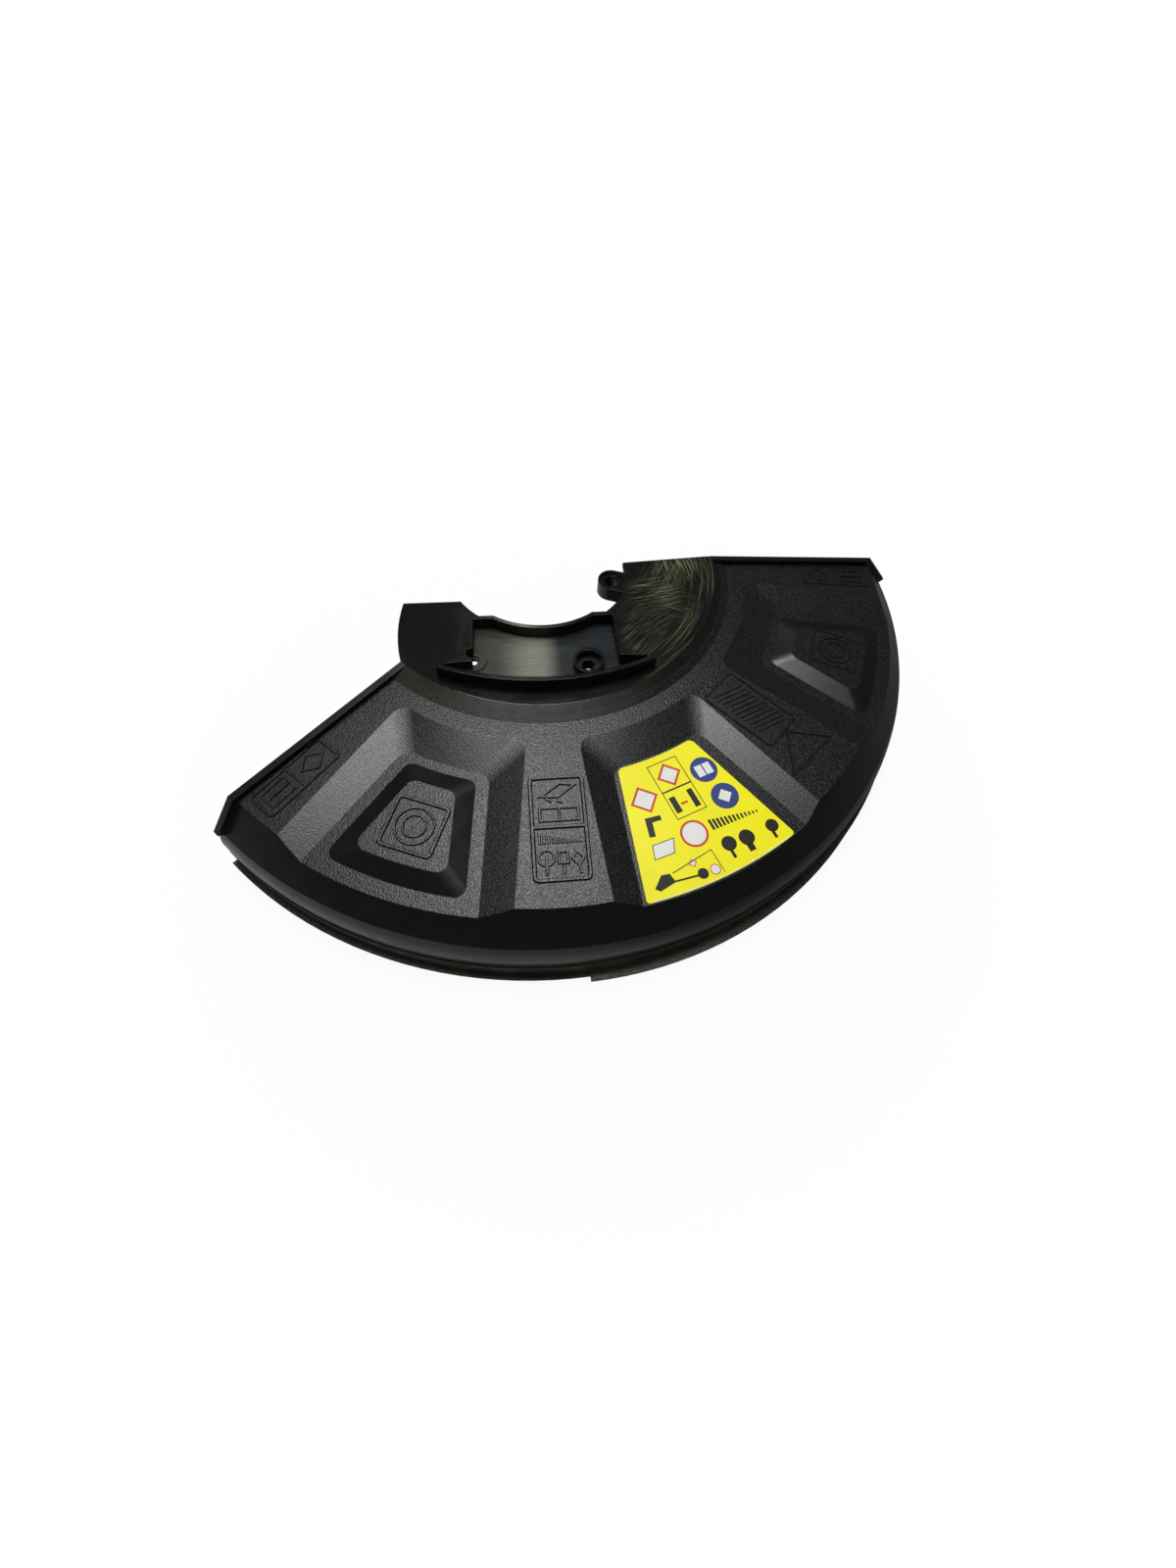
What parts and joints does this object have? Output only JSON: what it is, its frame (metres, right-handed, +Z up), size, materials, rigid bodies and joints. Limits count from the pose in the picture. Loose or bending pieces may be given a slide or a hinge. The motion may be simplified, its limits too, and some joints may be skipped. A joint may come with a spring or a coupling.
{
  "type": "trimmer blade guard",
  "caption": "Moulded guard sector for a grass trimmer, with a pocketed skirt, a rolled rim and a hub deck that bolts to the gear case.",
  "frame": {"origin": "on the blade axis, level with the lower edge of the rim", "axes": "+Z up along the blade axis, the mounting bowl faces -Y, +X to its right seen from the bowl's front"},
  "size_m": [0.3467, 0.2062, 0.0532],
  "materials": {
    "black_plastic": "fine spark-eroded grain, smooth on the hub and outer wall",
    "yellow_film": "satin film"
  },
  "bodies": {
    "root": {"guard_moulding": "black_plastic", "label_film": "yellow_film"}
  },
  "joints": []
}
